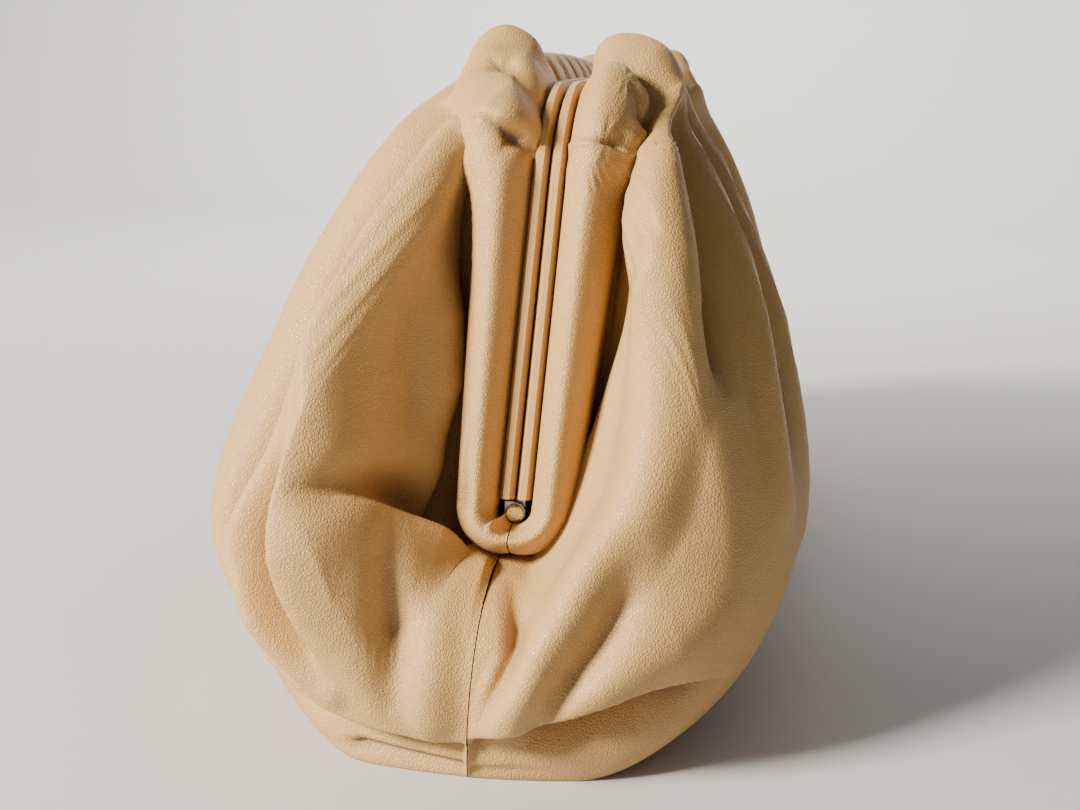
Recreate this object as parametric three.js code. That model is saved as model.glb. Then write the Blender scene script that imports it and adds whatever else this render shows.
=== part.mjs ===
import * as THREE from 'three';

// A soft, gathered leather frame clutch. Millimetres, +Z up, the long axis along Y, the near end at -Y.
// The leather is one surface with two coordinates: u runs along the frame from the near hinge (0) over the
// top to the far hinge (1), and v runs from the frame's edge (0) down the side to the middle of the base
// (10).

// The bag.
const bagLength = 378;
const bagWidth = 180;
const bagHeight = 195;
const leatherWall = 2.2;
const seamGap = 0.3;
const endBow = 5;

// The frame leans to the right, and the soft body less, a little to the left of its frame.
const frameLean = 0.055;
const bodyLean = 0.05;
const leanLevel = 80;
const bodyShift = 3.5;

// The opening frame: two arms that lean inwards, and a top bar. It sits inside the bag's length and height
// by these insets.
const hingeInset = 39;
const cornerInset = 65;
const frameInset = 21;
const hingeAlong = bagLength / 2 - hingeInset;
const cornerAlong = bagLength / 2 - cornerInset;
const hingeUp = 64;
const frameUp = bagHeight - frameInset;
const frameCornerRadius = 26;
const frameRise = 3;

// The leather-covered bars.
const barWidth = 4.1;
const barDepth = 9.2;
const barsApart = 0.6;
const barClearance = 0.3;
const barAbovePin = 3.4;

// The roll of leather beside the bars, which narrows down the arms and turns under each hinge.
const rollWidth = 15.5;
const hingeRollShare = 0.72;
const rollRise = 10;
const turnTightening = 0.3;

// The hinge.
const pinRadius = 1.4;
const pinHeadHeight = 1.2;
const pinClearance = 0.3;
const headInsideEye = 0.4;
const eyeInsideTurn = 0.4;
const eyeThickness = 1.4;
const eyeLegWidth = 2.4;

// Shares of u: the turn under a hinge, and the middle of a frame corner.
const turnShare = 0.035;
const cornerShare = 0.25;

// The mesh: columns along u for each turn, arm and half of the top, and rows between the lines of v.
const turnColumns = 2;
const armColumns = 17;
const topColumns = 16;
const rowsPerLine = [1, 2, 2, 1, 1, 3, 3, 2, 1, 1];
const barSides = 8;
const bendSteps = 6;
const topSteps = 8;
const roundSides = 14;

// Points round the roll, as shares of its width aside of the bar and of its rise out of the frame.
const rollPoints = [
  { name: 'edge', armAside: 0, armOut: -0.5, topAside: 0, topOut: -0.5 },
  { name: 'inner', armAside: 0.04, armOut: 0.42, topAside: 0.04, topOut: 0.42 },
  { name: 'crown', armAside: 0.5, armOut: 1.05, topAside: 0.5, topOut: 1.25 },
  { name: 'outer', armAside: 1, armOut: 0.35, topAside: 1.08, topOut: 0.95 },
  { name: 'recess', armAside: 1.1, armOut: -1.5, topAside: 1.35, topOut: 0.1 },
];

// Rings round the body from the shoulder down, as shares of half the width (at the middle and at the
// ends), half the length (along), the height (up) and the width (corner). Ease draws u to the corners.
const rails = [
  { name: 'shoulder', mid: 0.4, end: 0.52, along: 0.8, upMid: 0.82, upEnd: 0.243, corner: 0.2, ease: 0.95 },
  { name: 'upper', mid: 0.7, end: 0.78, along: 0.93, upMid: 0.58, upEnd: 0.22, corner: 0.27, ease: 0.8 },
  { name: 'belly', mid: 0.93, end: 0.9, along: 0.985, upMid: 0.27, upEnd: 0.16, corner: 0.32, ease: 0.45 },
  { name: 'lip', mid: 0.76, end: 0.72, along: 0.99, upMid: 0.075, upEnd: 0.05, corner: 0.24, ease: 0.2 },
  { name: 'foot', mid: 0.45, end: 0.38, along: 0.965, upMid: 0, upEnd: 0, corner: 0.06, ease: 0 },
];

// The folds of the near end. A path is a few (u, v) points; widths and heights are shares of the bag's
// width, spread evenly along it.
const leftFolds = [
  { name: 'big fold', kind: 'ridge',
    path: [
      [0.3, 2], [0.29, 3], [0.275, 4], [0.252, 5], [0.235, 5.5], [0.205, 5.95], [0.17, 6.4], [0.11, 6.95],
      [0.06, 7.5],
    ],
    widths: [0.04, 0.05, 0.08, 0.12, 0.13, 0.12, 0.1, 0.08],
    heights: [0.01, 0.05, 0.07, 0.075, 0.07, 0.055, 0.04, 0.01] },
  { name: 'outer fold', kind: 'ridge',
    path: [[0.3, 2.6], [0.315, 4], [0.318, 5], [0.305, 6], [0.28, 7], [0.25, 7.4]],
    widths: [0.05, 0.08, 0.08, 0.06], heights: [0.03, 0.06, 0.045, 0.01] },
  { name: 'small fold', kind: 'ridge',
    path: [[0.262, 6.1], [0.26, 6.6], [0.247, 6.95], [0.21, 7.15], [0.165, 7.4], [0.13, 7.6]],
    widths: [0.035, 0.05, 0.05, 0.04], heights: [0, 0.05, 0.045, 0.01] },
  { name: 'middle valley', kind: 'valley',
    path: [[0.235, 6.28], [0.205, 6.6], [0.18, 6.88], [0.157, 7.12], [0.133, 7.45]],
    widths: [0.035, 0.045, 0.04], heights: [0.02, 0.07, 0.06, 0.01] },
  { name: 'hollow by the roll', kind: 'valley',
    path: [[0.24, 4.4], [0.17, 4.35], [0.12, 4.4], [0.07, 4.6], [0.05, 4.9]],
    widths: [0.02, 0.03, 0.045, 0.05], heights: [0.03, 0.07, 0.1, 0.06] },
  { name: 'above the chin', kind: 'valley', path: [[0.04, 4.9], [0.07, 5.2], [0.1, 5.6], [0.135, 6.1]],
    widths: [0.05, 0.07, 0.05], heights: [0.04, 0.05, 0.015] },
  { name: 'chin', kind: 'ridge', path: [[0, 5.35], [0.03, 5.5], [0.06, 5.8], [0.09, 6.3]],
    widths: [0.07, 0.1, 0.12], heights: [0.02, 0.05, 0.04] },
  { name: 'chin valley', kind: 'valley',
    path: [[0.09, 5.8], [0.07, 6.15], [0.058, 6.6], [0.056, 7.1], [0.062, 7.6]],
    widths: [0.03, 0.04, 0.035], heights: [0, 0.03, 0.035, 0.02, 0.005] },
  { name: 'seam fold', kind: 'ridge', path: [[0.03, 5.6], [0.028, 6.2], [0.026, 7], [0.03, 7.6]],
    widths: [0.05, 0.05], heights: [0.005, 0.015, 0.01] },
  { name: 'under the belly', kind: 'valley',
    path: [[0.003, 8.1], [0.04, 8.1], [0.1, 8.1], [0.16, 8.05], [0.22, 8], [0.28, 7.9]],
    widths: [0.06, 0.08], heights: [0.015, 0.03, 0.04, 0.04, 0] },
];
const rightFolds = [
  { name: 'big fold', kind: 'ridge',
    path: [
      [0.305, 2], [0.3, 3], [0.289, 4], [0.272, 5], [0.245, 5.5], [0.2, 5.62], [0.16, 5.74], [0.12, 5.9],
      [0.08, 6.12], [0.055, 6.6], [0.035, 7.15], [0.028, 7.6],
    ],
    widths: [0.04, 0.045, 0.05, 0.08, 0.09, 0.08, 0.07, 0.06],
    heights: [0.02, 0.05, 0.07, 0.07, 0.065, 0.055, 0.045, 0.02] },
  { name: 'recess', kind: 'valley',
    path: [
      [0.278, 1], [0.277, 2.2], [0.272, 3.2], [0.258, 4.2], [0.24, 4.7], [0.21, 4.95], [0.17, 4.95],
      [0.13, 4.9], [0.1, 4.9],
    ],
    widths: [0.025, 0.035, 0.05, 0.07, 0.07, 0.05], heights: [0.02, 0.045, 0.06, 0.08, 0.09, 0.08, 0.04] },
  { name: 'inner valley', kind: 'valley',
    path: [[0.3, 4.4], [0.292, 5.2], [0.28, 5.6], [0.272, 5.95], [0.266, 6.3]],
    widths: [0.035, 0.05, 0.045], heights: [0.03, 0.08, 0.07, 0.03, 0] },
  { name: 'middle fold', kind: 'ridge',
    path: [[0.318, 3.6], [0.32, 4.9], [0.316, 5.4], [0.306, 5.8], [0.294, 6.2], [0.28, 6.7]],
    widths: [0.05, 0.06, 0.07], heights: [0.02, 0.06, 0.07, 0.05, 0.01] },
  { name: 'outer valley', kind: 'valley', path: [[0.342, 4.4], [0.337, 5.3], [0.326, 5.8], [0.31, 6.3]],
    widths: [0.035, 0.04], heights: [0.02, 0.06, 0.05, 0] },
  { name: 'outer fold', kind: 'ridge',
    path: [[0.37, 3.5], [0.372, 4.9], [0.362, 5.6], [0.345, 6.3], [0.32, 6.9]],
    widths: [0.06, 0.08], heights: [0.03, 0.07, 0.06, 0.01] },
  { name: 'broad valley', kind: 'valley',
    path: [[0.13, 6.1], [0.105, 6.35], [0.085, 6.75], [0.065, 7.2], [0.055, 7.5]],
    widths: [0.05, 0.05, 0.03], heights: [0, 0.025, 0.03, 0.01] },
  { name: 'lip', kind: 'ridge', path: [[0.03, 7.5], [0.08, 7.3], [0.13, 7.1], [0.18, 7.1], [0.24, 6.95]],
    widths: [0.05, 0.09, 0.09], heights: [0.005, 0.025, 0.02, 0] },
  { name: 'under the lip', kind: 'valley',
    path: [[0.002, 8.1], [0.05, 8], [0.08, 7.9], [0.116, 7.85], [0.155, 7.8], [0.213, 7.9], [0.26, 8]],
    widths: [0.06, 0.08], heights: [0.015, 0.035, 0.05, 0.05, 0.03, 0] },
];

// The gathers along the top: a crease across the roll at u, and a valley below it that runs to
// (foot, reach). Depths are shares of the bag's width.
const leftGathers = [
  { at: 0.228, onRoll: 0.03, foot: 0.23, reach: 4.4, onSide: 0 },
  { at: 0.335, onRoll: 0.03, foot: 0.35, reach: 6.4, onSide: 0.05 },
  { at: 0.385, onRoll: 0.025, foot: 0.39, reach: 5.8, onSide: 0.04 },
  { at: 0.435, onRoll: 0.03, foot: 0.445, reach: 6.8, onSide: 0.055 },
  { at: 0.49, onRoll: 0.025, foot: 0.5, reach: 6, onSide: 0.045 },
  { at: 0.54, onRoll: 0.03, foot: 0.55, reach: 6.7, onSide: 0.05 },
  { at: 0.595, onRoll: 0.025, foot: 0.6, reach: 5.9, onSide: 0.045 },
  { at: 0.65, onRoll: 0.03, foot: 0.655, reach: 6.6, onSide: 0.05 },
  { at: 0.7, onRoll: 0.025, foot: 0.71, reach: 6, onSide: 0.03 },
  { at: 0.755, onRoll: 0.03, foot: 0.76, reach: 4.6, onSide: 0 },
];
const rightGathers = [
  { at: 0.225, onRoll: 0.03, foot: 0.228, reach: 4.4, onSide: 0 },
  { at: 0.33, onRoll: 0.03, foot: 0.335, reach: 5.5, onSide: 0.03 },
  { at: 0.38, onRoll: 0.025, foot: 0.385, reach: 6.4, onSide: 0.05 },
  { at: 0.44, onRoll: 0.03, foot: 0.445, reach: 5.9, onSide: 0.045 },
  { at: 0.495, onRoll: 0.025, foot: 0.5, reach: 6.7, onSide: 0.055 },
  { at: 0.55, onRoll: 0.03, foot: 0.555, reach: 5.9, onSide: 0.045 },
  { at: 0.605, onRoll: 0.025, foot: 0.61, reach: 6.6, onSide: 0.05 },
  { at: 0.66, onRoll: 0.03, foot: 0.665, reach: 5.8, onSide: 0.04 },
  { at: 0.715, onRoll: 0.025, foot: 0.72, reach: 5.4, onSide: 0.03 },
  { at: 0.765, onRoll: 0.03, foot: 0.77, reach: 4.6, onSide: 0 },
];
const gatherWidths = [0.03, 0.035, 0.05, 0.06];

// The seam under the base ends a little inside the foot.
const baseSeamShare = 0.97;

// The far end repeats the other panel's near folds, a little flatter.
const farFoldHeight = 0.9;

const besideBars = barsApart / 2 + barWidth + barClearance;
const { clamp, lerp } = THREE.MathUtils;

function smooth(t) {
  return THREE.MathUtils.smoothstep(t, 0, 1);
}

// The frame line, from the near hinge round two bends to the far hinge, as points of (y, z).
function frameLine() {
  const corners = [
    new THREE.Vector2(-hingeAlong, hingeUp),
    new THREE.Vector2(-cornerAlong, frameUp),
    new THREE.Vector2(cornerAlong, frameUp),
    new THREE.Vector2(hingeAlong, hingeUp),
  ];
  const near = bend(corners[0], corners[1], corners[2]);
  const far = bend(corners[1], corners[2], corners[3]);
  const top = [];
  for (let i = 1; i < topSteps; i += 1) {
    top.push(near.at(-1).clone().lerp(far[0], i / topSteps));
  }
  return [corners[0], ...near, ...top, ...far, corners[3]];
}

// A round bend of the frame at the corner between two straight stretches.
function bend(before, corner, after) {
  const toBefore = before.clone().sub(corner).normalize();
  const toAfter = after.clone().sub(corner).normalize();
  const half = Math.acos(toBefore.dot(toAfter)) / 2;
  const middle = toBefore.clone().add(toAfter).normalize();
  const centre = corner.clone().addScaledVector(middle, frameCornerRadius / Math.sin(half));
  const start = corner.clone().addScaledVector(toBefore, frameCornerRadius / Math.tan(half));
  const turn = 2 * half - Math.PI;
  const points = [];
  for (let i = 0; i <= bendSteps; i += 1) {
    points.push(start.clone().rotateAround(centre, (turn * i) / bendSteps));
  }
  return points;
}

const line = frameLine();
const lengths = [0];
for (let i = 1; i < line.length; i += 1) {
  lengths.push(lengths[i - 1] + line[i].distanceTo(line[i - 1]));
}
const frameLength = lengths.at(-1);
const armLength = lengths[1 + bendSteps / 2];

// The point of the frame line at a length along it.
function alongFrame(length) {
  const wanted = clamp(length, 0, frameLength);
  let i = 1;
  while (i < line.length - 1 && lengths[i] < wanted) {
    i += 1;
  }
  const share = (wanted - lengths[i - 1]) / (lengths[i] - lengths[i - 1]);
  return line[i - 1].clone().lerp(line[i], share);
}

// The frame at u: its point, its direction and the direction out of it. The turns under the hinges stand
// still, and the middle of each corner lies at cornerShare.
function frameAt(u) {
  const fromEnd = Math.min(u, 1 - u);
  const arm = clamp((fromEnd - turnShare) / (cornerShare - turnShare), 0, 1);
  const top = clamp((fromEnd - cornerShare) / (0.5 - cornerShare), 0, 1);
  const fromHinge = armLength * arm + (frameLength / 2 - armLength) * top;
  return frameAtLength(u <= 0.5 ? fromHinge : frameLength - fromHinge);
}

function frameAtLength(length) {
  const at = alongFrame(length);
  const step = frameLength / 80;
  const direction = alongFrame(length + step).sub(alongFrame(length - step)).normalize();
  const rise = frameRise * Math.max(0, 1 - (at.x / cornerAlong) ** 2);
  return {
    point: new THREE.Vector3(0, at.x, at.y + rise),
    along: new THREE.Vector3(0, direction.x, direction.y),
    out: new THREE.Vector3(0, -direction.y, direction.x),
  };
}

// A rounded rectangle of one rail at u: x across from the seam, y along.
function railPoint(u, halfAcross, halfAlong, radius, ease) {
  const fromEnd = Math.min(u, 1 - u);
  const share = clamp(fromEnd / cornerShare, 0, 1);
  const eased = share + ease * share * (1 - share);
  const flank = clamp((fromEnd - cornerShare) / (0.5 - cornerShare), 0, 1);
  const straight = halfAcross - radius;
  const halfArc = (Math.PI * radius) / 4;
  const run = (straight + halfArc) * eased + (halfAlong - radius + halfArc) * flank;
  const angle = clamp((run - straight) / radius, 0, Math.PI / 2);
  const beyond = Math.max(run - straight - 2 * halfArc, 0);
  const x = run < straight ? run : straight + radius * Math.sin(angle);
  const y = -(halfAlong - radius) - radius * Math.cos(angle) + beyond;
  return { x, y: u <= 0.5 ? y : -y };
}

// The points that a section of the leather passes through at u, one for each line of v.
function sectionPoints(u, side) {
  const frame = frameAt(u);
  const drop = clamp((frameUp - frame.point.z) / (frameUp - hingeUp), 0, 1);
  const arm = smooth(4 * drop);
  const turned = 1 - clamp(Math.min(u, 1 - u) / turnShare, 0, 1);
  const angle = (turned * Math.PI) / 2;
  const hingeward = u < 0.5 ? -1 : 1;
  const points = [];
  for (const row of rollPoints) {
    const share = lerp(row.topAside, row.armAside, arm);
    const width = rollWidth * lerp(1, hingeRollShare, drop);
    const aside = (besideBars + width * share) * (1 - turnTightening * turned);
    const out = rollRise * lerp(row.topOut, row.armOut, arm);
    const point = frame.point.clone();
    point.addScaledVector(frame.out, out);
    point.addScaledVector(frame.along, hingeward * aside * Math.sin(angle));
    point.x = side * aside * Math.cos(angle);
    points.push(point);
  }
  for (const rail of rails) {
    const halfAcross = (bagWidth / 2) * lerp(rail.mid, rail.end, drop);
    const halfAlong = (bagLength / 2) * rail.along;
    const at = railPoint(u, halfAcross, halfAlong, bagWidth * rail.corner, rail.ease);
    const bowed = at.y * (1 - (2 * endBow * (at.x / halfAcross) ** 2) / bagLength);
    points.push(new THREE.Vector3(side * at.x, bowed, bagHeight * lerp(rail.upMid, rail.upEnd, drop)));
  }
  const foot = rails.at(-1);
  const halfAlong = (bagLength / 2) * foot.along;
  const base = railPoint(u, (bagWidth / 2) * foot.end, halfAlong, bagWidth * foot.corner, foot.ease);
  points.push(new THREE.Vector3(0, base.y * baseSeamShare, 0));
  return points;
}

// The leather's plain form at (u, v): a centripetal Catmull-Rom curve through the section's points.
function plainPoint(u, v, side) {
  const points = sectionPoints(u, side);
  const last = points.length - 1;
  const k = clamp(Math.floor(v), 0, last - 1);
  const t = v - k;
  const [p0, p1, p2, p3] = [k - 1, k, k + 1, k + 2].map((i) => points[clamp(i, 0, last)]);
  const d01 = Math.sqrt(p0.distanceTo(p1));
  const d12 = Math.sqrt(p1.distanceTo(p2));
  const d23 = Math.sqrt(p2.distanceTo(p3));
  const chord = p2.clone().sub(p1);
  const leaving = k === 0 ? chord.clone() : tangent(p0, p1, p2, d01, d12).multiplyScalar(d12);
  const arriving = k === last - 1 ? chord.clone() : tangent(p1, p2, p3, d12, d23).multiplyScalar(d12);
  const point = new THREE.Vector3();
  point.addScaledVector(p1, 2 * t ** 3 - 3 * t ** 2 + 1);
  point.addScaledVector(leaving, t ** 3 - 2 * t ** 2 + t);
  point.addScaledVector(p2, 3 * t ** 2 - 2 * t ** 3);
  point.addScaledVector(arriving, t ** 3 - t ** 2);
  return point;
}

function tangent(a, b, c, first, second) {
  const before = b.clone().sub(a).divideScalar(first);
  const across = c.clone().sub(a).divideScalar(first + second);
  const after = c.clone().sub(b).divideScalar(second);
  return before.sub(across).add(after);
}

// The direction out of the leather at (u, v), from its plain form.
function plainNormal(u, v, side) {
  const step = 0.004;
  const du = plainPoint(Math.min(u + step, 1), v, side).sub(plainPoint(Math.max(u - step, 0), v, side));
  const dv = plainPoint(u, Math.min(v + 0.05, 10), side).sub(plainPoint(u, Math.max(v - 0.05, 0), side));
  return du.cross(dv).multiplyScalar(-side).normalize();
}

// A value from a list spread evenly over 0 to 1.
function spread(values, share) {
  const at = share * (values.length - 1);
  const k = Math.min(Math.floor(at), values.length - 2);
  return lerp(values[k], values[k + 1], at - k);
}

// One fold as a line in space, with its half width and height at each step.
function foldLine(fold, side) {
  const steps = 30;
  const curve = new THREE.SplineCurve(fold.path.map(([u, v]) => new THREE.Vector2(u, v)));
  const stations = [];
  for (let i = 0; i <= steps; i += 1) {
    const at = curve.getPoint(i / steps);
    stations.push({
      point: plainPoint(at.x, at.y, side),
      halfWidth: bagWidth * spread(fold.widths, i / steps),
      height: bagWidth * spread(fold.heights, i / steps),
    });
  }
  return { kind: fold.kind, stations };
}

// How far a fold moves a point of the leather out (a ridge) or in (a valley).
function foldOffset(fold, point) {
  let nearest = Infinity;
  let halfWidth = 1;
  let height = 0;
  for (let i = 1; i < fold.stations.length; i += 1) {
    const from = fold.stations[i - 1];
    const to = fold.stations[i];
    const stretch = to.point.clone().sub(from.point);
    const share = clamp(point.clone().sub(from.point).dot(stretch) / stretch.lengthSq(), 0, 1);
    const distance = from.point.clone().addScaledVector(stretch, share).distanceTo(point);
    if (distance < nearest) {
      nearest = distance;
      halfWidth = lerp(from.halfWidth, to.halfWidth, share);
      height = lerp(from.height, to.height, share);
    }
  }
  const reach = nearest / halfWidth;
  if (fold.kind === 'ridge') {
    return height * (0.5 + 0.5 * Math.cos(Math.PI * Math.min(reach, 1)));
  }
  return -height * Math.exp(-((1.8 * reach) ** 2));
}

// The creases and valleys of the gathers, as folds.
function gatherFolds(gathers) {
  const folds = [];
  for (const gather of gathers) {
    const { at, onRoll, foot, reach, onSide } = gather;
    folds.push({
      kind: 'valley',
      path: [[at, 1], [at, 2.5], [at, 4]],
      widths: gatherWidths.slice(0, 2),
      heights: [0.6 * onRoll, onRoll],
    });
    if (onSide > 0) {
      folds.push({
        kind: 'valley',
        path: [[at, 3.6], [at, 4.6], [(at + foot) / 2, (4.6 + reach) / 2], [foot, reach]],
        widths: gatherWidths.slice(1),
        heights: [onRoll, onSide, 0.2 * onSide],
      });
    }
  }
  return folds;
}

// A panel's folds turned round to the far end.
function farFolds(folds) {
  return folds.map((fold) => ({
    kind: fold.kind,
    path: fold.path.map(([u, v]) => [1 - u, v]),
    widths: fold.widths,
    heights: fold.heights.map((height) => height * farFoldHeight),
  }));
}

// Folds fade out where the panels meet under the hinge and where the bag lies on its base.
function foldShare(u, v) {
  const offSeam = smooth(Math.min(u, 1 - u) / 0.03);
  const belowHinge = smooth((v - 5) / 0.5);
  return (1 - (1 - offSeam) * (1 - belowHinge)) * (1 - smooth((v - 8.6) / 0.4));
}

// The lean of the whole bag, and the body's small shift beside the frame.
function settle(point, v) {
  const body = smooth(v - 4);
  point.x += lerp(frameLean, bodyLean, body) * (point.z - leanLevel) - bodyShift * body;
  return point;
}

function columnPlaces() {
  const half = [];
  for (let i = 0; i < turnColumns; i += 1) {
    half.push((turnShare * i) / turnColumns);
  }
  for (let i = 0; i < armColumns; i += 1) {
    half.push(lerp(turnShare, cornerShare, i / armColumns));
  }
  for (let i = 0; i < topColumns; i += 1) {
    half.push(lerp(cornerShare, 0.5, i / topColumns));
  }
  return [...half, 0.5, ...half.map((u) => 1 - u).reverse()];
}

function rowPlaces() {
  const places = [];
  rowsPerLine.forEach((rows, k) => {
    for (let i = 0; i < rows; i += 1) {
      places.push(k + i / rows);
    }
  });
  return [...places, rowsPerLine.length];
}

// One half of the pouch: an outer and an inner surface, a wall apart, joined along their edges.
function panelGeometry(side, folds) {
  const lines = folds.map((fold) => foldLine(fold, side));
  const columns = columnPlaces();
  const rows = rowPlaces();
  const positions = [];
  for (const depth of [0, leatherWall]) {
    columns.forEach((u, i) => {
      rows.forEach((v, j) => {
        const point = plainPoint(u, v, side);
        const offset = lines.reduce((sum, fold) => sum + foldOffset(fold, point), 0) * foldShare(u, v);
        point.addScaledVector(plainNormal(u, v, side), offset - depth);
        const onSeam = i === 0 || i === columns.length - 1 || j === rows.length - 1;
        point.x = side * (onSeam ? seamGap / 2 : Math.max(side * point.x, seamGap / 2));
        point.z = Math.max(point.z, depth);
        settle(point, v);
        positions.push(point.x, point.y, point.z);
      });
    });
  }
  const inner = columns.length * rows.length;
  const indices = [];
  const quad = (a, b, c, d) => {
    indices.push(...(side < 0 ? [a, b, c, a, c, d] : [a, c, b, a, d, c]));
  };
  const at = (i, j) => i * rows.length + j;
  for (let i = 0; i < columns.length - 1; i += 1) {
    for (let j = 0; j < rows.length - 1; j += 1) {
      quad(at(i, j), at(i + 1, j), at(i + 1, j + 1), at(i, j + 1));
      quad(inner + at(i, j), inner + at(i, j + 1), inner + at(i + 1, j + 1), inner + at(i + 1, j));
    }
  }
  const lastRow = rows.length - 1;
  const lastColumn = columns.length - 1;
  for (let i = 0; i < lastColumn; i += 1) {
    quad(at(i, 0), inner + at(i, 0), inner + at(i + 1, 0), at(i + 1, 0));
    quad(at(i, lastRow), at(i + 1, lastRow), inner + at(i + 1, lastRow), inner + at(i, lastRow));
  }
  for (let j = 0; j < lastRow; j += 1) {
    quad(at(0, j), at(0, j + 1), inner + at(0, j + 1), inner + at(0, j));
    quad(at(lastColumn, j), inner + at(lastColumn, j), inner + at(lastColumn, j + 1), at(lastColumn, j + 1));
  }
  return closedGeometry(positions, indices);
}

function closedGeometry(positions, indices) {
  const geometry = new THREE.BufferGeometry();
  geometry.setAttribute('position', new THREE.Float32BufferAttribute(positions, 3));
  geometry.setIndex(indices);
  geometry.computeVertexNormals();
  return geometry;
}

// One frame bar: an oval section carried along the frame from just above one pin to just above the other.
function barGeometry(side) {
  const middle = side * (barsApart / 2 + barWidth / 2);
  const stations = [barAbovePin, ...lengths.slice(1, -1), frameLength - barAbovePin];
  const positions = [];
  for (const length of stations) {
    const frame = frameAtLength(length);
    for (let i = 0; i < barSides; i += 1) {
      const angle = ((i + 0.5) / barSides) * 2 * Math.PI;
      const flat = Math.cos(Math.PI / barSides);
      const point = frame.point.clone();
      point.addScaledVector(frame.out, ((barDepth / 2) * Math.sin(angle)) / flat);
      point.x = middle + ((barWidth / 2) * Math.cos(angle)) / flat;
      settle(point, 0);
      positions.push(point.x, point.y, point.z);
    }
  }
  const indices = [];
  const last = stations.length - 1;
  for (let k = 0; k < last; k += 1) {
    for (let i = 0; i < barSides; i += 1) {
      const next = (i + 1) % barSides;
      const [a, b] = [k * barSides + i, k * barSides + next];
      indices.push(a, b + barSides, b, a, a + barSides, b + barSides);
    }
  }
  for (let i = 1; i < barSides - 1; i += 1) {
    indices.push(0, i, i + 1);
    indices.push(last * barSides, last * barSides + i + 1, last * barSides + i);
  }
  return closedGeometry(positions, indices);
}

// The flat steel eye at the foot of a bar: a ring round the pin and a leg up to the bar.
function eyeGeometry(side) {
  const radius = besideBars * (1 - turnTightening) - eyeInsideTurn;
  const legInside = barsApart / 2;
  const legOutside = legInside + eyeLegWidth;
  const legTop = barAbovePin - barClearance;
  const from = Math.acos(legOutside / radius);
  const to = Math.acos(legInside / radius) - 2 * Math.PI;
  const outline = [new THREE.Vector2(side * legOutside, legTop)];
  for (let i = 0; i <= roundSides; i += 1) {
    const angle = lerp(from, to, i / roundSides);
    outline.push(new THREE.Vector2(side * radius * Math.cos(angle), radius * Math.sin(angle)));
  }
  outline.push(new THREE.Vector2(side * legInside, legTop));
  const shape = new THREE.Shape(outline);
  const hole = new THREE.Path();
  hole.absarc(0, 0, pinRadius + pinClearance, 0, 2 * Math.PI, false);
  shape.holes.push(hole);
  const options = { depth: eyeThickness, bevelEnabled: false, curveSegments: roundSides };
  return new THREE.ExtrudeGeometry(shape, options).rotateX(Math.PI / 2).translate(0, eyeThickness / 2, 0);
}

// The rivet: a shaft along Y with a low round head at each end.
function pinGeometry() {
  const eyeRadius = besideBars * (1 - turnTightening) - eyeInsideTurn;
  const headRadius = eyeRadius - headInsideEye;
  const grip = eyeThickness + 1.5 * pinClearance;
  const top = grip + pinHeadHeight;
  const profile = [
    new THREE.Vector2(0, -top),
    new THREE.Vector2(0.8 * headRadius, -top),
    new THREE.Vector2(headRadius, -grip - pinHeadHeight / 2),
    new THREE.Vector2(headRadius, -grip),
    new THREE.Vector2(pinRadius, -grip),
    new THREE.Vector2(pinRadius, grip),
    new THREE.Vector2(headRadius, grip),
    new THREE.Vector2(headRadius, grip + pinHeadHeight / 2),
    new THREE.Vector2(0.8 * headRadius, top),
    new THREE.Vector2(0, top),
  ];
  return new THREE.LatheGeometry(profile, roundSides);
}

const leather = new THREE.MeshStandardMaterial({ color: 0xd9ac76, roughness: 0.5, metalness: 0 });
const steel = new THREE.MeshStandardMaterial({ color: 0x8d8a84, roughness: 0.35, metalness: 1 });
const brass = new THREE.MeshStandardMaterial({ color: 0xc99b3d, roughness: 0.25, metalness: 1 });

function named(name, geometry, material) {
  const mesh = new THREE.Mesh(geometry, material);
  mesh.name = name;
  return mesh;
}

function hinge(name, end) {
  const group = new THREE.Group();
  const eyeOffset = (eyeThickness + pinClearance) / 2;
  for (const [sideName, side] of [['left', -1], ['right', 1]]) {
    const eye = named(`hinge_eye_${sideName}_${name}`, eyeGeometry(side), steel);
    eye.position.y = side * end * eyeOffset * -1;
    group.add(eye);
  }
  group.add(named(`hinge_pin_${name}`, pinGeometry(), brass));
  group.position.copy(settle(new THREE.Vector3(0, end * hingeAlong, hingeUp), 0));
  return group;
}

const bag = new THREE.Group();
const folds = {
  left: [...leftFolds, ...gatherFolds(leftGathers), ...farFolds(rightFolds)],
  right: [...rightFolds, ...gatherFolds(rightGathers), ...farFolds(leftFolds)],
};
bag.add(named('panel_left', panelGeometry(-1, folds.left), leather));
bag.add(named('panel_right', panelGeometry(1, folds.right), leather));
bag.add(named('frame_bar_left', barGeometry(-1), leather));
bag.add(named('frame_bar_right', barGeometry(1), leather));
bag.add(hinge('near', -1), hinge('far', 1));

// The origin is the middle of the bag's footprint, on the surface that it stands on.
bag.updateMatrixWorld(true);
const box = new THREE.Box3().setFromObject(bag, true);
const centre = box.getCenter(new THREE.Vector3());
bag.position.set(-centre.x, -centre.y, -box.min.z);

export default bag;
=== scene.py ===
import math
import bpy
import numpy as np
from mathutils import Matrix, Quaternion, Vector


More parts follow.
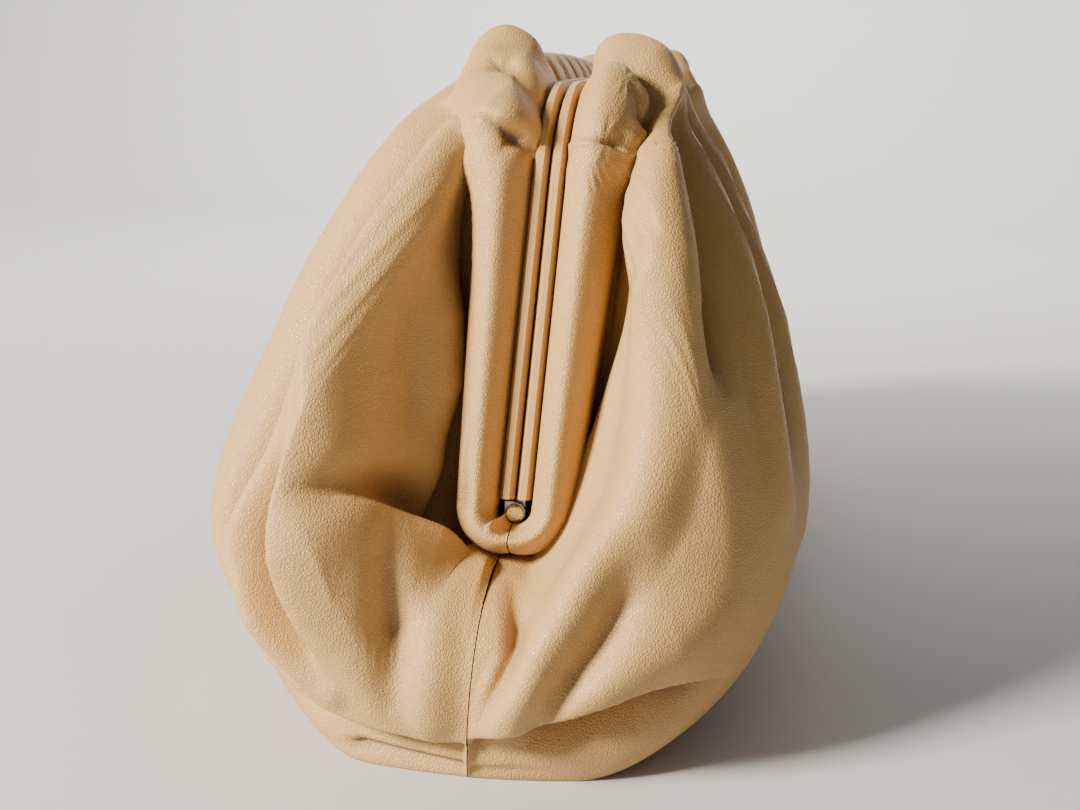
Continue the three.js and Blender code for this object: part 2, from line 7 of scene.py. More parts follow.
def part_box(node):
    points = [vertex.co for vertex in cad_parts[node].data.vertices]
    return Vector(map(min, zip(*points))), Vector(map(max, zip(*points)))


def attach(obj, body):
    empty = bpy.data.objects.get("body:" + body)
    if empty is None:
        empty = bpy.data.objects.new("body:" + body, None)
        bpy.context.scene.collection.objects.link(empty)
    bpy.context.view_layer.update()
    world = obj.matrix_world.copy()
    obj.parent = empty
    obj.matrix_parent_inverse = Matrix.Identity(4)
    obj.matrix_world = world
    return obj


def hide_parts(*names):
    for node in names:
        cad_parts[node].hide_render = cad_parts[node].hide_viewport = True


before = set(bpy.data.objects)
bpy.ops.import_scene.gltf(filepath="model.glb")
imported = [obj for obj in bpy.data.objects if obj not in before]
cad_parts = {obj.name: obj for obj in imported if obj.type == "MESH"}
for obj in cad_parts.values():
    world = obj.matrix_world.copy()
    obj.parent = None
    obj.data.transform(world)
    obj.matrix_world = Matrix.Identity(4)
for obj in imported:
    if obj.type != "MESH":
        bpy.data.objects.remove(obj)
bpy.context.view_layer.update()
print("The packed bag is loaded")

# Millimetres, as the bag was drawn; the finished meshes are turned into metres.
# u runs along the frame from the near hinge (0) over the top to the far hinge (1),
# v runs from the frame's edge (0) down the side to the middle of the base (10).
bag = dict(
    length=378, width=180, height=195, seamGap=0.3, endBow=5,
    frameLean=0.055, bodyLean=0.05, leanLevel=80, bodyShift=3.5,
    hingeAlong=150, hingeUp=64, cornerAlong=124, frameUp=174, cornerRadius=26, frameRise=3,
    barWidth=4.1, barsApart=0.6, barClearance=0.3,
    rollWidth=15.5, hingeRollShare=0.72, rollRise=10, armChange=4,
    turnTightening=0.3, turnShare=0.035, cornerShare=0.25,
    baseSeamShare=0.97, bodyRow=4, cornerRounding=0.035, roundingStart=0.1, roundingSteps=4,
)
# How finely the frame's line is divided, and the part of it, each way, over which its direction is taken.
lineMesh = dict(bendSteps=24, topSteps=16, directionPart=80)
besideBars = bag["barsApart"] / 2 + bag["barWidth"] + bag["barClearance"]

# Round the roll: shares of its width aside and of its rise, on the arms and along the top.
rollPoints = [
    dict(name="edge", armAside=0, armOut=-0.5, topAside=0, topOut=-0.5),
    dict(name="inner", armAside=0.04, armOut=0.42, topAside=0.04, topOut=0.42),
    dict(name="crown", armAside=0.5, armOut=1.05, topAside=0.5, topOut=1.25),
    dict(name="outer", armAside=1, armOut=0.35, topAside=1.08, topOut=0.95),
    dict(name="recess", armAside=1.1, armOut=-1.5, topAside=1.35, topOut=0.1),
]
# Rings round the body from the shoulder down to the foot.
rails = [
    dict(name="shoulder", mid=0.4, end=0.52, along=0.8, upMid=0.82, upEnd=0.26, corner=0.2, ease=0.95),
    dict(name="upper", mid=0.7, end=0.78, along=0.93, upMid=0.58, upEnd=0.23, corner=0.27, ease=0.8),
    dict(name="belly", mid=0.93, end=0.9, along=0.985, upMid=0.27, upEnd=0.16, corner=0.32, ease=0.45),
    dict(name="lip", mid=0.76, end=0.72, along=0.99, upMid=0.075, upEnd=0.05, corner=0.24, ease=0.2),
    dict(name="foot", mid=0.45, end=0.38, along=0.965, upMid=0, upEnd=0, corner=0.06, ease=0),
]


def mix(a, b, share):
    return a + (b - a) * share


def smooth(t):
    t = np.clip(t, 0, 1)
    return t * t * (3 - 2 * t)


def frameLine():
    corners = np.array([
        [-bag["hingeAlong"], bag["hingeUp"]], [-bag["cornerAlong"], bag["frameUp"]],
        [bag["cornerAlong"], bag["frameUp"]], [bag["hingeAlong"], bag["hingeUp"]],
    ], float)
    near = frameBend(corners[0], corners[1], corners[2])
    far = frameBend(corners[1], corners[2], corners[3])
    steps = lineMesh["topSteps"]
    top = [mix(near[-1], far[0], i / steps) for i in range(1, steps)]
    return np.array([corners[0], *near, *top, *far, corners[3]])


def frameBend(before, corner, after):
    toBefore = (before - corner) / np.linalg.norm(before - corner)
    toAfter = (after - corner) / np.linalg.norm(after - corner)
    half = math.acos(toBefore @ toAfter) / 2
    middle = (toBefore + toAfter) / np.linalg.norm(toBefore + toAfter)
    centre = corner + middle * bag["cornerRadius"] / math.sin(half)
    start = corner + toBefore * bag["cornerRadius"] / math.tan(half) - centre
    points = []
    for i in range(lineMesh["bendSteps"] + 1):
        turn = (2 * half - math.pi) * i / lineMesh["bendSteps"]
        points.append(centre + [start[0] * math.cos(turn) - start[1] * math.sin(turn),
                                start[0] * math.sin(turn) + start[1] * math.cos(turn)])
    return points


linePoints = frameLine()
lineSteps = np.linalg.norm(np.diff(linePoints, axis=0), axis=1)
lineAt = np.concatenate([[0], np.cumsum(lineSteps)])
frameLength = lineAt[-1]
armLength = lineAt[1 + lineMesh["bendSteps"] // 2]  # from the hinge to the middle of the bend


def frameAtLength(length):
    length = np.clip(length, 0, frameLength)
    y = np.interp(length, lineAt, linePoints[:, 0])
    z = np.interp(length, lineAt, linePoints[:, 1])
    step = frameLength / lineMesh["directionPart"]
    low, high = np.clip(length - step, 0, frameLength), np.clip(length + step, 0, frameLength)
    dy = np.interp(high, lineAt, linePoints[:, 0]) - np.interp(low, lineAt, linePoints[:, 0])
    dz = np.interp(high, lineAt, linePoints[:, 1]) - np.interp(low, lineAt, linePoints[:, 1])
    size = np.hypot(dy, dz)
    rise = bag["frameRise"] * np.clip(1 - (y / bag["cornerAlong"]) ** 2, 0, 1)
    return y, z + rise, dy / size, dz / size


def frameAt(u):
    fromEnd = np.minimum(u, 1 - u)
    arm = np.clip((fromEnd - bag["turnShare"]) / (bag["cornerShare"] - bag["turnShare"]), 0, 1)
    top = np.clip((fromEnd - bag["cornerShare"]) / (0.5 - bag["cornerShare"]), 0, 1)
    length = armLength * arm + (frameLength / 2 - armLength) * top
    return frameAtLength(np.where(u <= 0.5, length, frameLength - length))


def railPlace(u, halfAcross, halfAlong, radius, ease):
    fromEnd = np.minimum(u, 1 - u)
    share = np.clip(fromEnd / bag["cornerShare"], 0, 1)
    eased = share + ease * share * (1 - share)
    flank = np.clip((fromEnd - bag["cornerShare"]) / (0.5 - bag["cornerShare"]), 0, 1)
    straight = halfAcross - radius
    halfArc = math.pi * radius / 4
    run = (straight + halfArc) * eased + (halfAlong - radius + halfArc) * flank
    angle = np.clip((run - straight) / radius, 0, math.pi / 2)
    beyond = np.maximum(run - straight - 2 * halfArc, 0)
    x = np.where(run < straight, run, straight + radius * np.sin(angle))
    y = -(halfAlong - radius) - radius * np.cos(angle) + beyond
    return x, np.where(u <= 0.5, y, -y)


def sectionPoints(u, side):
    y, z, alongY, alongZ = frameAt(u)
    drop = np.clip((bag["frameUp"] - z) / (bag["frameUp"] - bag["hingeUp"]), 0, 1)
    arm = smooth(bag["armChange"] * drop)
    turned = 1 - np.clip(np.minimum(u, 1 - u) / bag["turnShare"], 0, 1)
    hingeward = np.where(u < 0.5, -1.0, 1.0)
    points = []
    width = bag["rollWidth"] * mix(1, bag["hingeRollShare"], drop)
    for row in rollPoints:
        aside = besideBars + width * mix(row["topAside"], row["armAside"], arm)
        aside = aside * (1 - bag["turnTightening"] * turned)
        out = bag["rollRise"] * mix(row["topOut"], row["armOut"], arm)
        down = hingeward * aside * np.sin(turned * math.pi / 2)
        x = side * aside * np.cos(turned * math.pi / 2)
        points.append(np.stack([x, y - alongZ * out + alongY * down,
                                z + alongY * out + alongZ * down], -1))
    for rail in rails:
        across = bag["width"] / 2 * mix(rail["mid"], rail["end"], drop)
        halfAlong = bag["length"] / 2 * rail["along"]
        x, along = railPlace(u, across, halfAlong, bag["width"] * rail["corner"], rail["ease"])
        along = along * (1 - 2 * bag["endBow"] / bag["length"] * (x / across) ** 2)
        up = bag["height"] * mix(rail["upMid"], rail["upEnd"], drop)
        points.append(np.stack([side * x, along, up + 0 * x], -1))
    foot = rails[-1]
    x, along = railPlace(u, bag["width"] / 2 * foot["end"], bag["length"] / 2 * foot["along"],
                         bag["width"] * foot["corner"], foot["ease"])
    points.append(np.stack([0 * x, along * bag["baseSeamShare"], 0 * x], -1))
    return np.stack(points)


def plainSkin(u, v, side):
    # a centripetal Catmull-Rom curve through each section's points
    points = sectionPoints(u, side)
    last = len(points) - 1
    k = np.clip(np.floor(v).astype(int), 0, last - 1)
    t = (v - k)[..., None]

    def at(i):
        return np.take_along_axis(points, np.clip(i, 0, last)[None, ..., None], 0)[0]

    p0, p1, p2, p3 = at(k - 1), at(k), at(k + 1), at(k + 2)
    d01, d12, d23 = [np.sqrt(np.linalg.norm(b - a, axis=-1, keepdims=True) + 1e-6)
                     for a, b in ((p0, p1), (p1, p2), (p2, p3))]
    leaving = ((p1 - p0) / d01 - (p2 - p0) / (d01 + d12) + (p2 - p1) / d12) * d12
    arriving = ((p2 - p1) / d12 - (p3 - p1) / (d12 + d23) + (p3 - p2) / d23) * d12
    leaving = np.where((k == 0)[..., None], p2 - p1, leaving)
    arriving = np.where((k == last - 1)[..., None], p2 - p1, arriving)
    return ((2 * t ** 3 - 3 * t ** 2 + 1) * p1 + (t ** 3 - 2 * t ** 2 + t) * leaving
            + (3 * t ** 2 - 2 * t ** 3) * p2 + (t ** 3 - t ** 2) * arriving)


def roundedSkin(u, v, side):
    # the body's corners are rounder than the frame's: each point is shared with those beside it
    fromEnd = np.clip(np.minimum(u, 1 - u) / bag["roundingStart"], 0, 1)
    reach = bag["cornerRounding"] * smooth(v - bag["bodyRow"]) * fromEnd
    steps = bag["roundingSteps"]
    places = range(-steps, steps + 1)
    shares = [math.cos(math.pi * k / (2 * (steps + 1))) ** 2 for k in places]
    total = sum(share * plainSkin(u + reach * k / steps, v, side) for k, share in zip(places, shares))
    return total / sum(shares)


def gridNormals(grid, side):
    normal = np.cross(np.gradient(grid, axis=0), np.gradient(grid, axis=1)) * -side
    return normal / np.maximum(np.linalg.norm(normal, axis=-1, keepdims=True), 1e-9)


def softLine(points, steps):
    # a Catmull-Rom line through a few points
    p = np.array(points, float)
    q = np.vstack([2 * p[0] - p[1], p, 2 * p[-1] - p[-2]])
    at = np.linspace(0, len(p) - 1, steps)
    k = np.clip(np.floor(at).astype(int), 0, len(p) - 2)
    t = (at - k)[:, None]
    a, b, c, d = q[k], q[k + 1], q[k + 2], q[k + 3]
    return 0.5 * (2 * b + (c - a) * t + (2 * a - 5 * b + 4 * c - d) * t ** 2
                  + (3 * b - a - 3 * c + d) * t ** 3)


def spread(values, steps):
    return np.interp(np.linspace(0, 1, steps), np.linspace(0, 1, len(values)), values)


def onGrid(grid, us, vs, u, v):
    # the points of a grid at places (u, v)
    i = np.clip(np.interp(u, us, np.arange(len(us))), 0, len(us) - 1.001)
    j = np.clip(np.interp(v, vs, np.arange(len(vs))), 0, len(vs) - 1.001)
    i0, j0 = i.astype(int), j.astype(int)
    fi, fj = (i - i0)[:, None], (j - j0)[:, None]
    return (grid[i0, j0] * (1 - fi) * (1 - fj) + grid[i0 + 1, j0] * fi * (1 - fj)
            + grid[i0, j0 + 1] * (1 - fi) * fj + grid[i0 + 1, j0 + 1] * fi * fj)


# What all folds share: how a path is divided and how its form falls off beside it.
foldForm = dict(
    steps=40, reach=2.2, blend=0.12,  # the blend is a share of the fold's own width
    facingBase=0.95, facingGain=1.5,
    fadeSteps=2.5, valleySharpness=1.8, creaseSharpness=3, flapEdge=1.6,
)


def foldOffset(grid, normals, us, vs, fold):
    # how far one fold moves each point out (or in); widths and heights are shares of the bag's width
    steps = foldForm["steps"]
    skew = fold.get("skew", 1)  # above 1, a fold is wider on the left hand of its path
    path = softLine(fold["path"], steps)
    width = spread(fold["widths"], steps) * bag["width"]
    height = spread(fold["heights"], steps) * bag["width"]
    line = onGrid(grid, us, vs, path[:, 0], path[:, 1])
    lineNormals = onGrid(normals, us, vs, path[:, 0], path[:, 1])
    reach = width.max() * foldForm["reach"] * max(skew, 1 / skew)
    inside = np.all((grid > line.min(0) - reach) & (grid < line.max(0) + reach), axis=-1)
    p, n = grid[inside], normals[inside]
    distance, along, side = [], [], []
    for i in range(steps - 1):
        stretch = line[i + 1] - line[i]
        size = stretch @ stretch + 1e-9
        share = np.clip((p - line[i]) @ stretch / size, 0, 1)
        away = p - (line[i] + share[:, None] * stretch)
        distance.append(np.linalg.norm(away, axis=-1))
        along.append(i + share)
        side.append(np.sign(np.einsum("ij,ij->i", np.cross(stretch, away), n)))
    distance = np.array(distance)
    nearest = distance.min(0)
    # the stretches near a point share it, so a bent path leaves no pinch on its inner side
    blend = np.exp(-(distance - nearest) / (foldForm["blend"] * width.mean()))
    blend = blend / blend.sum(0)
    at = (blend * along).sum(0)
    hand = (blend * side).sum(0)
    # leather that faces another way, such as the back of the roll, is left alone
    alike = np.einsum("ij,ij->i", n, lineNormals[np.round(at).astype(int)])
    facing = smooth(foldForm["facingBase"] + foldForm["facingGain"] * alike)
    width = np.interp(at, np.arange(steps), width)
    height = np.interp(at, np.arange(steps), height)
    r = nearest / (width * skew ** hand)
    ends = 1
    if fold.get("fade", False):
        ends = smooth(np.minimum(at, steps - 1 - at) / foldForm["fadeSteps"])
    if fold["kind"] == "ridge":
        form = 0.5 + 0.5 * np.cos(math.pi * np.clip(r, 0, 1))
    elif fold["kind"] == "valley":
        form = -np.exp(-(foldForm["valleySharpness"] * r) ** 2)
    elif fold["kind"] == "crease":
        form = -np.exp(-foldForm["creaseSharpness"] * r)
    else:  # a flap stands proud on the left hand of its path
        rise = smooth(0.5 + hand * nearest / fold.get("edge", foldForm["flapEdge"]))
        form = np.clip(1 - (blend * distance).sum(0) / width, 0, 1) ** 2 * rise
    offset = np.zeros(grid.shape[:-1])
    offset[inside] = height * form * ends * facing
    return offset


# What all wrinkles share; lengths are shares of the distance from "at" to "toward".
wrinkleForm = dict(
    rayBend=2.5, raySpiral=1.3, ringAt=0.55, ringWidth=0.38, pitWidth=0.35,
    swing=0.9, swingAlong=2.2, swingAcross=0.7, start=0.25, end=1.15, endGain=2, deep=0.8,
)


def puckerOffset(grid, normals, us, vs, pucker):
    # small wrinkles beside each other, or round a pit where "rays" is given
    u, v = pucker["at"]
    uToward, vToward = pucker["toward"]
    centre, toward = onGrid(grid, us, vs, np.array([u, uToward]), np.array([v, vToward]))
    i, j = np.searchsorted(us, u), np.searchsorted(vs, v)
    normal = normals[min(i, len(us) - 1), min(j, len(vs) - 1)]
    along = toward - centre
    along = along - normal * (along @ normal)
    length = np.linalg.norm(along)
    along = along / length
    across = np.cross(normal, along)
    away = grid - centre
    a, b, depth = away @ along, away @ across, np.abs(away @ normal)
    facing = np.clip(normals @ normal, 0, 1)
    if "rays" in pucker:
        r = np.hypot(a, b) / length
        angle = np.arctan2(b, a)
        bend = wrinkleForm["rayBend"] * np.sin(2 * angle + pucker["rays"])
        wave = np.cos(pucker["rays"] * angle + bend + wrinkleForm["raySpiral"] * r)
        ring = np.exp(-((r - wrinkleForm["ringAt"]) / wrinkleForm["ringWidth"]) ** 2)
        form = wave * ring - pucker.get("pit", 0) * np.exp(-(r / wrinkleForm["pitWidth"]) ** 2)
    else:
        half = length * pucker["spread"]
        fan = b / (1 + pucker.get("fan", 0) * a / length)
        swing = np.sin(a / length * wrinkleForm["swingAlong"] + fan * wrinkleForm["swingAcross"])
        wave = np.cos(2 * math.pi * fan / pucker["spacing"] + wrinkleForm["swing"] * swing)
        begins = smooth(a / length + wrinkleForm["start"])
        ends = smooth((wrinkleForm["end"] - a / length) * wrinkleForm["endGain"])
        form = wave * np.exp(-(b / half) ** 2) * begins * ends
    form = form * np.exp(-(depth / (wrinkleForm["deep"] * length)) ** 4) * facing
    return pucker["depth"] * form


# The folds of the near end. A path is a few (u, v) points; widths and heights are shares of the bag's
# width, spread evenly along it. A flap stands proud on the left hand of its path.
leftFolds = [
    dict(name="big fold", kind="ridge", skew=1.3,
         path=[(0.3, 2), (0.29, 3), (0.272, 4), (0.255, 4.8), (0.246, 5.4), (0.232, 5.8),
               (0.205, 5.98), (0.17, 6.4), (0.11, 6.95), (0.06, 7.5)],
         widths=[0.04, 0.05, 0.08, 0.12, 0.13, 0.12, 0.1, 0.08],
         heights=[0.01, 0.04, 0.04, 0.022, 0.024, 0.04, 0.055, 0.035, 0.01]),
    dict(name="big fold's left edge", kind="flap", edge=2.5,
         path=[(0.26, 4.6), (0.257, 5.1), (0.253, 5.5), (0.247, 5.8), (0.237, 6.05), (0.2, 6.25),
               (0.165, 6.55), (0.142, 6.9), (0.13, 7.3)],
         widths=[0.08, 0.1, 0.12, 0.1], heights=[0.01, 0.035, 0.04, 0.038, 0.035, 0.01]),
    dict(name="outer fold", kind="ridge",
         path=[(0.3, 2.6), (0.308, 4), (0.305, 5), (0.3, 5.8), (0.29, 6.5), (0.27, 7), (0.25, 7.4)],
         widths=[0.05, 0.08, 0.08, 0.06], heights=[0.03, 0.055, 0.065, 0.045, 0.045, 0.01]),
    dict(name="outer valley", kind="valley",
         path=[(0.278, 4.4), (0.276, 5.2), (0.273, 5.7), (0.266, 6.2), (0.262, 6.6), (0.258, 6.95)],
         widths=[0.035, 0.05, 0.04], heights=[0.04, 0.09, 0.1, 0.09, 0.05, 0.01]),
    dict(name="small fold", kind="ridge",
         path=[(0.255, 6.1), (0.252, 6.6), (0.24, 6.95), (0.21, 7.15), (0.165, 7.4), (0.13, 7.6)],
         widths=[0.035, 0.05, 0.05, 0.04], heights=[0, 0.045, 0.045, 0.01]),
    dict(name="middle valley", kind="valley",
         path=[(0.235, 6.3), (0.205, 6.6), (0.18, 6.88), (0.157, 7.12), (0.133, 7.45)],
         widths=[0.035, 0.045, 0.04], heights=[0.01, 0.06, 0.055, 0.01]),
    dict(name="hollow by the roll", kind="valley",
         path=[(0.24, 4.4), (0.17, 4.4), (0.12, 4.45), (0.07, 4.6), (0.04, 4.85)],
         widths=[0.02, 0.03, 0.045, 0.05], heights=[0.01, 0.006, 0.015, 0.045, 0.06]),
    dict(name="flank by the roll", kind="ridge",
         path=[(0.2, 4.8), (0.16, 4.75), (0.12, 4.75), (0.09, 4.85)],
         widths=[0.07, 0.09, 0.08], heights=[0, 0.035, 0.04, 0.01]),
    dict(name="above the chin", kind="valley",
         path=[(0.04, 4.9), (0.07, 5.2), (0.1, 5.6), (0.135, 6.1)],
         widths=[0.05, 0.07, 0.05], heights=[0.04, 0.045, 0.015]),
    dict(name="chin", kind="flap", edge=3,
         path=[(0, 4.8), (0.03, 5), (0.06, 5.3), (0.09, 5.65), (0.115, 5.95)],
         widths=[0.2, 0.25, 0.2], heights=[0.025, 0.05, 0.05, 0.025, 0]),
    dict(name="bulge", kind="ridge",
         path=[(0.08, 6.1), (0.12, 6.4), (0.15, 6.9)],
         widths=[0.1, 0.14, 0.1], heights=[0.01, 0.03, 0.01]),
    dict(name="chin valley", kind="valley",
         path=[(0.09, 5.8), (0.07, 6.15), (0.058, 6.6), (0.056, 7.1), (0.062, 7.6)],
         widths=[0.03, 0.05, 0.045], heights=[0, 0.02, 0.03, 0.02, 0.005]),
    dict(name="seam fold", kind="ridge",
         path=[(0.03, 5.6), (0.028, 6.2), (0.026, 7), (0.03, 7.6)],
         widths=[0.05, 0.05], heights=[0.005, 0.012, 0.01]),
    dict(name="under the belly", kind="flap", edge=3,
         path=[(0.003, 7.9), (0.04, 7.93), (0.1, 7.92), (0.16, 7.86), (0.22, 7.8), (0.28, 7.7)],
         widths=[0.12, 0.12], heights=[-0.02, -0.045, -0.07, -0.07, 0]),
    dict(name="edge of the base", kind="flap", edge=2,
         path=[(0.002, 8.5), (0.08, 8.48), (0.15, 8.5), (0.19, 8.6)],
         widths=[0.04, 0.04], heights=[-0.012, -0.02, -0.03, 0]),
]
rightFolds = [
    dict(name="big fold", kind="ridge",
         path=[(0.305, 2), (0.297, 3), (0.286, 4), (0.27, 4.7), (0.258, 5.3), (0.24, 5.58),
               (0.22, 5.62), (0.17, 5.75), (0.125, 5.95), (0.08, 6.15), (0.055, 6.6),
               (0.035, 7.15), (0.028, 7.6)],
         widths=[0.06, 0.08, 0.08, 0.08, 0.08, 0.08, 0.07, 0.06],
         heights=[0.03, 0.05, 0.05, 0.045, 0.035, 0.04, 0.045, 0.045, 0.02]),
    dict(name="big fold's left edge", kind="flap", edge=3,
         path=[(0.285, 2.8), (0.276, 3.5), (0.266, 4.2), (0.255, 4.8), (0.247, 5.15),
               (0.237, 5.36), (0.22, 5.42), (0.2, 5.4), (0.17, 5.39), (0.15, 5.39), (0.12, 5.45)],
         widths=[0.06, 0.08, 0.1, 0.12], heights=[0, 0.012, 0.018, 0.02, 0.02, 0.015, 0]),
    dict(name="recess", kind="valley",
         path=[(0.278, 1), (0.277, 2.2), (0.272, 3.2), (0.262, 4.2), (0.24, 4.6), (0.21, 4.7),
               (0.17, 4.7), (0.13, 4.6), (0.1, 4.55)],
         widths=[0.025, 0.03, 0.05, 0.07, 0.07, 0.05],
         heights=[0.01, 0.025, 0.04, 0.05, 0.055, 0.05, 0.03]),
    dict(name="big fold's right edge", kind="flap", edge=5,
         path=[(0.254, 6.1), (0.26, 5.85), (0.268, 5.6), (0.274, 5.38), (0.278, 5.1), (0.284, 4.5)],
         widths=[0.06, 0.08, 0.06], heights=[0, 0.006, 0.014, 0.014, 0.008]),
    dict(name="inner valley", kind="valley",
         path=[(0.3, 4.2), (0.292, 4.8), (0.284, 5.3), (0.276, 5.6), (0.268, 5.9), (0.262, 6.2)],
         widths=[0.035, 0.05, 0.045], heights=[0, 0.06, 0.085, 0.06, 0]),
    dict(name="middle fold", kind="ridge",
         path=[(0.315, 3.6), (0.312, 4.9), (0.307, 5.4), (0.302, 5.8), (0.294, 6.2), (0.285, 6.7)],
         widths=[0.05, 0.06, 0.07], heights=[0.02, 0.05, 0.05, 0.035, 0.01]),
    dict(name="outer valley", kind="valley",
         path=[(0.335, 4.4), (0.33, 5.3), (0.32, 5.8), (0.308, 6.3)],
         widths=[0.03, 0.035], heights=[0.02, 0.05, 0.04, 0]),
    dict(name="outer fold", kind="ridge",
         path=[(0.36, 3.5), (0.36, 4.9), (0.35, 5.6), (0.34, 6.3), (0.32, 6.9)],
         widths=[0.06, 0.08], heights=[0.03, 0.065, 0.055, 0.01]),
    dict(name="seam valley", kind="valley",
         path=[(0.02, 5.4), (0.022, 5.9), (0.026, 6.5), (0.022, 7), (0.012, 7.5)],
         widths=[0.03, 0.028, 0.02], heights=[0, 0.015, 0.03, 0.025, 0.005]),
    dict(name="broad valley", kind="valley",
         path=[(0.13, 6.1), (0.105, 6.35), (0.085, 6.75), (0.065, 7.2), (0.055, 7.5)],
         widths=[0.05, 0.05, 0.03], heights=[0, 0.025, 0.03, 0.01]),
    dict(name="lip", kind="ridge",
         path=[(0.03, 7.5), (0.08, 7.3), (0.13, 7.1), (0.18, 7.1), (0.24, 6.95)],
         widths=[0.05, 0.09, 0.09], heights=[0.005, 0.025, 0.02, 0]),
    dict(name="under the lip", kind="flap", edge=3,
         path=[(0.26, 7.65), (0.213, 7.55), (0.155, 7.45), (0.116, 7.48), (0.08, 7.58),
               (0.05, 7.66), (0.025, 7.7), (0.002, 7.85)],
         widths=[0.1, 0.14, 0.14, 0.1], heights=[0, -0.06, -0.09, -0.09, -0.07, -0.045, -0.02]),
    dict(name="edge of the base", kind="flap", edge=2,
         path=[(0.15, 8.7), (0.1, 8.55), (0.05, 8.5), (0.002, 8.5)],
         widths=[0.04, 0.04], heights=[0, -0.006, -0.008]),
]
# The gathers along the top, each as (u, height on the roll, foot, reach, height on the side):
# a valley across the roll at u, and one below it that ends at (foot, reach).
leftGathers = [
    (0.228, 0.008, 0.23, 4.4, 0), (0.335, 0.03, 0.35, 6.4, 0.05),
    (0.385, 0.025, 0.39, 5.8, 0.04), (0.435, 0.03, 0.445, 6.8, 0.055), (0.49, 0.025, 0.5, 6, 0.045),
    (0.54, 0.03, 0.55, 6.7, 0.05), (0.595, 0.025, 0.6, 5.9, 0.045), (0.65, 0.03, 0.655, 6.6, 0.05),
    (0.7, 0.025, 0.71, 6, 0.03), (0.755, 0.03, 0.76, 4.6, 0),
]
rightGathers = [
    (0.225, 0.008, 0.228, 4.4, 0), (0.33, 0.03, 0.335, 5.5, 0.03),
    (0.38, 0.025, 0.385, 6.4, 0.05), (0.44, 0.03, 0.445, 5.9, 0.045), (0.495, 0.025, 0.5, 6.7, 0.055),
    (0.55, 0.03, 0.555, 5.9, 0.045), (0.605, 0.025, 0.61, 6.6, 0.05), (0.66, 0.03, 0.665, 5.8, 0.04),
    (0.715, 0.025, 0.72, 5.4, 0.03), (0.765, 0.03, 0.77, 4.6, 0),
]


gatherForm = dict(
    rollRows=(1, 2.5, 4), rollWidths=[0.03, 0.035], rollStart=0.6,
    sideRows=(3.6, 4.6), sideWidths=[0.035, 0.05, 0.06], sideEnd=0.2,
)


def gatherFolds(gathers):
    folds = []
    first, second = gatherForm["sideRows"]
    for at, onRoll, foot, reach, onSide in gathers:
        folds.append(dict(kind="valley", path=[(at, row) for row in gatherForm["rollRows"]],
                          widths=gatherForm["rollWidths"],
                          heights=[gatherForm["rollStart"] * onRoll, onRoll]))
        if onSide:
            halfway = ((at + foot) / 2, (second + reach) / 2)
            folds.append(dict(kind="valley", path=[(at, first), (at, second), halfway, (foot, reach)],
                              widths=gatherForm["sideWidths"],
                              heights=[onRoll, onSide, gatherForm["sideEnd"] * onSide]))
    return folds


farEndShare = 0.9


def atFarEnd(folds):
    # the far end is out of sight, so it repeats the other side's near end with lower folds
    return [dict(fold, path=[(1 - u, v) for u, v in fold["path"]],
                 heights=[farEndShare * height for height in fold["heights"]])
            for fold in folds]


skinMesh = dict(
    nearTo=0.3, nearColumns=225,
    topTo=0.72, topColumns=96,
    farColumns=120,
    rowsPerLine=[3, 10, 18, 16, 22, 36, 50, 36, 12, 4],
)


def skinPlaces():
    near = np.linspace(0, skinMesh["nearTo"], skinMesh["nearColumns"], endpoint=False)
    top = np.linspace(skinMesh["nearTo"], skinMesh["topTo"], skinMesh["topColumns"], endpoint=False)
    far = np.linspace(skinMesh["topTo"], 1, skinMesh["farColumns"] + 1)
    rows = [k + i / n for k, n in enumerate(skinMesh["rowsPerLine"]) for i in range(n)]
    return np.concatenate([near, top, far]), np.array([*rows, len(skinMesh["rowsPerLine"])], float)


# The folds fade out beside the hinges, at the end seams and into the base.
calm = dict(
    offSeam=0.03, atSeam=0.007, seamShare=0.3,
    hingeRow=5, hingeRows=0.5, baseRow=8.6, baseRows=0.4,
)


def leatherGrid(side, us, vs, layers):
    u, v = np.meshgrid(us, vs, indexing="ij")
    grid = roundedSkin(u, v, side)
    fromEnd = np.minimum(u, 1 - u)
    offSeam = smooth(fromEnd / calm["offSeam"])
    belowHinge = smooth((v - calm["hingeRow"]) / calm["hingeRows"])
    aboveBase = 1 - smooth((v - calm["baseRow"]) / calm["baseRows"])
    share = (1 - (1 - offSeam) * (1 - belowHinge)) * aboveBase
    share = share * mix(calm["seamShare"], 1, smooth(fromEnd / calm["atSeam"]))
    for layer in layers:
        normals = gridNormals(grid, side)
        offset = np.zeros(u.shape)
        for fold in layer:
            if "at" in fold:
                offset += puckerOffset(grid, normals, us, vs, fold)
            else:
                offset += foldOffset(grid, normals, us, vs, fold)
        moved = normals * (offset * share)[..., None]
        moved[..., 0] *= offSeam
        grid = grid + moved
    grid[..., 2] = np.maximum(grid[..., 2], 0)
    grid[..., 0] = side * np.maximum(side * grid[..., 0], bag["seamGap"] / 2)
    return grid, v


def settled(grid, v):
    # the lean of the whole bag, and the body's small shift beside its frame
    grid = np.array(grid)
    body = smooth(v - bag["bodyRow"])
    lean = mix(bag["frameLean"], bag["bodyLean"], body)
    grid[..., 0] += lean * (grid[..., 2] - bag["leanLevel"]) - bag["bodyShift"] * body
    return grid


